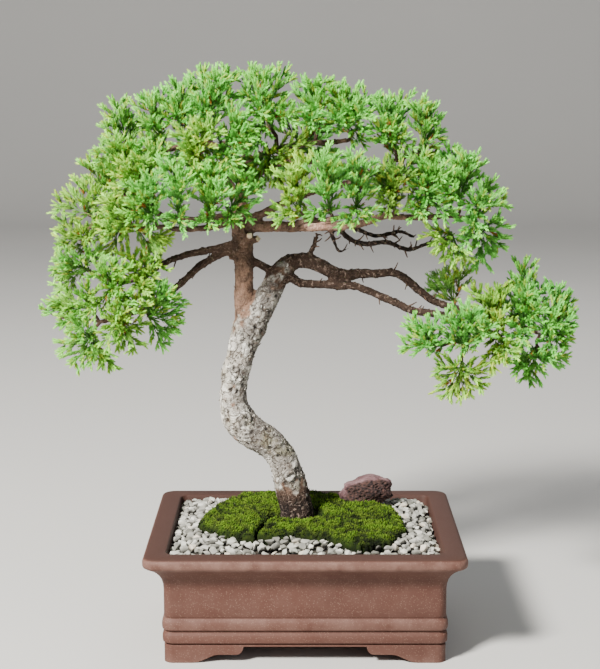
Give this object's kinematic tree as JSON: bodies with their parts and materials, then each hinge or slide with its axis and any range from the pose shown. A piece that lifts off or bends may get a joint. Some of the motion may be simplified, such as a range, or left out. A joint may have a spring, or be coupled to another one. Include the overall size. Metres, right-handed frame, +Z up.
{
  "type": "japanese garden juniper bonsai",
  "caption": "Garden juniper bonsai with a curved flaking trunk, spreading limbs of awl-leaved sprays, moss, gravel and a lava rock in a rectangular footed clay pot.",
  "frame": {"origin": "middle of the underside of the whole object's box, at the height of the feet's bottom", "axes": "+Z up along the tree, +X to the right along the pot's length, front face of the pot towards -Y"},
  "size_m": [0.4469, 0.203, 0.4699],
  "materials": {
    "pot": "matt unglazed brown clay with pale specks",
    "drain_mesh": "black plastic mesh",
    "soil": "dark loose soil",
    "gravel": "rough crushed pale grey stone",
    "moss": null,
    "lava_rock": "rough porous purple-brown rock",
    "bark": "flaking grey and brown bark",
    "foliage_blue": "blue-green awl leaves on thin shoots",
    "foliage_yellow": "yellow-green awl leaves on thin shoots",
    "foliage_olive": "dark olive-green awl leaves on thin shoots"
  },
  "bodies": {
    "root": {"pot": "pot", "drain_mesh_left": "drain_mesh", "drain_mesh_right": "drain_mesh", "soil": "soil", "gravel": "gravel", "moss_left": "moss", "moss_right": "moss", "moss_front": "moss", "lava_rock": "lava_rock", "trunk": "bark", "spray_left_peak": "foliage_blue", "spray_left_shoulder": "foliage_blue", "spray_left_step": "foliage_blue", "spray_left_tip": "foliage_yellow", "spray_left_edge": "foliage_yellow", "spray_left_edge_low": "foliage_blue", "spray_crown_a": "foliage_blue", "spray_crown_b": "foliage_blue", "spray_crown_c": "foliage_blue", "spray_front_high_left": "foliage_yellow", "spray_front_high_mid": "foliage_blue", "spray_left_front_mid": "foliage_yellow", "spray_front_row_a": "foliage_blue", "spray_front_row_b": "foliage_blue", "spray_front_row_c": "foliage_blue", "spray_front_row_d": "foliage_blue", "spray_left_mid": "foliage_yellow", "spray_inner_left": "foliage_yellow", "spray_low_front": "foliage_blue", "spray_low_edge": "foliage_blue", "spray_low_bottom": "foliage_blue", "spray_low_mid": "foliage_yellow", "spray_low_right": "foliage_blue", "spray_crown_top": "foliage_blue", "spray_crown_mid": "foliage_blue", "spray_crown_right_top": "foliage_blue", "spray_crown_right_edge": "foliage_blue", "spray_crown_far_right": "foliage_blue", "spray_inner_dark": "foliage_olive", "spray_mid_front_a": "foliage_yellow", "spray_mid_front_b": "foliage_blue", "spray_mid_front_c": "foliage_blue", "spray_right_mid_a": "foliage_olive", "spray_right_mid_b": "foliage_blue", "spray_right_top": "foliage_blue", "spray_right_edge": "foliage_blue", "spray_right_low": "foliage_yellow", "spray_right_low_edge": "foliage_blue", "spray_pad_olive": "foliage_olive", "spray_pad_left": "foliage_blue", "spray_pad_front": "foliage_blue", "spray_pad_low": "foliage_yellow", "spray_pad_mid": "foliage_yellow", "spray_pad_top": "foliage_blue", "spray_pad_right": "foliage_blue", "spray_pad_bottom": "foliage_blue", "spray_back_left": "foliage_olive", "spray_back_crown": "foliage_blue", "spray_back_right": "foliage_blue", "spray_back_far": "foliage_olive"}
  },
  "joints": []
}
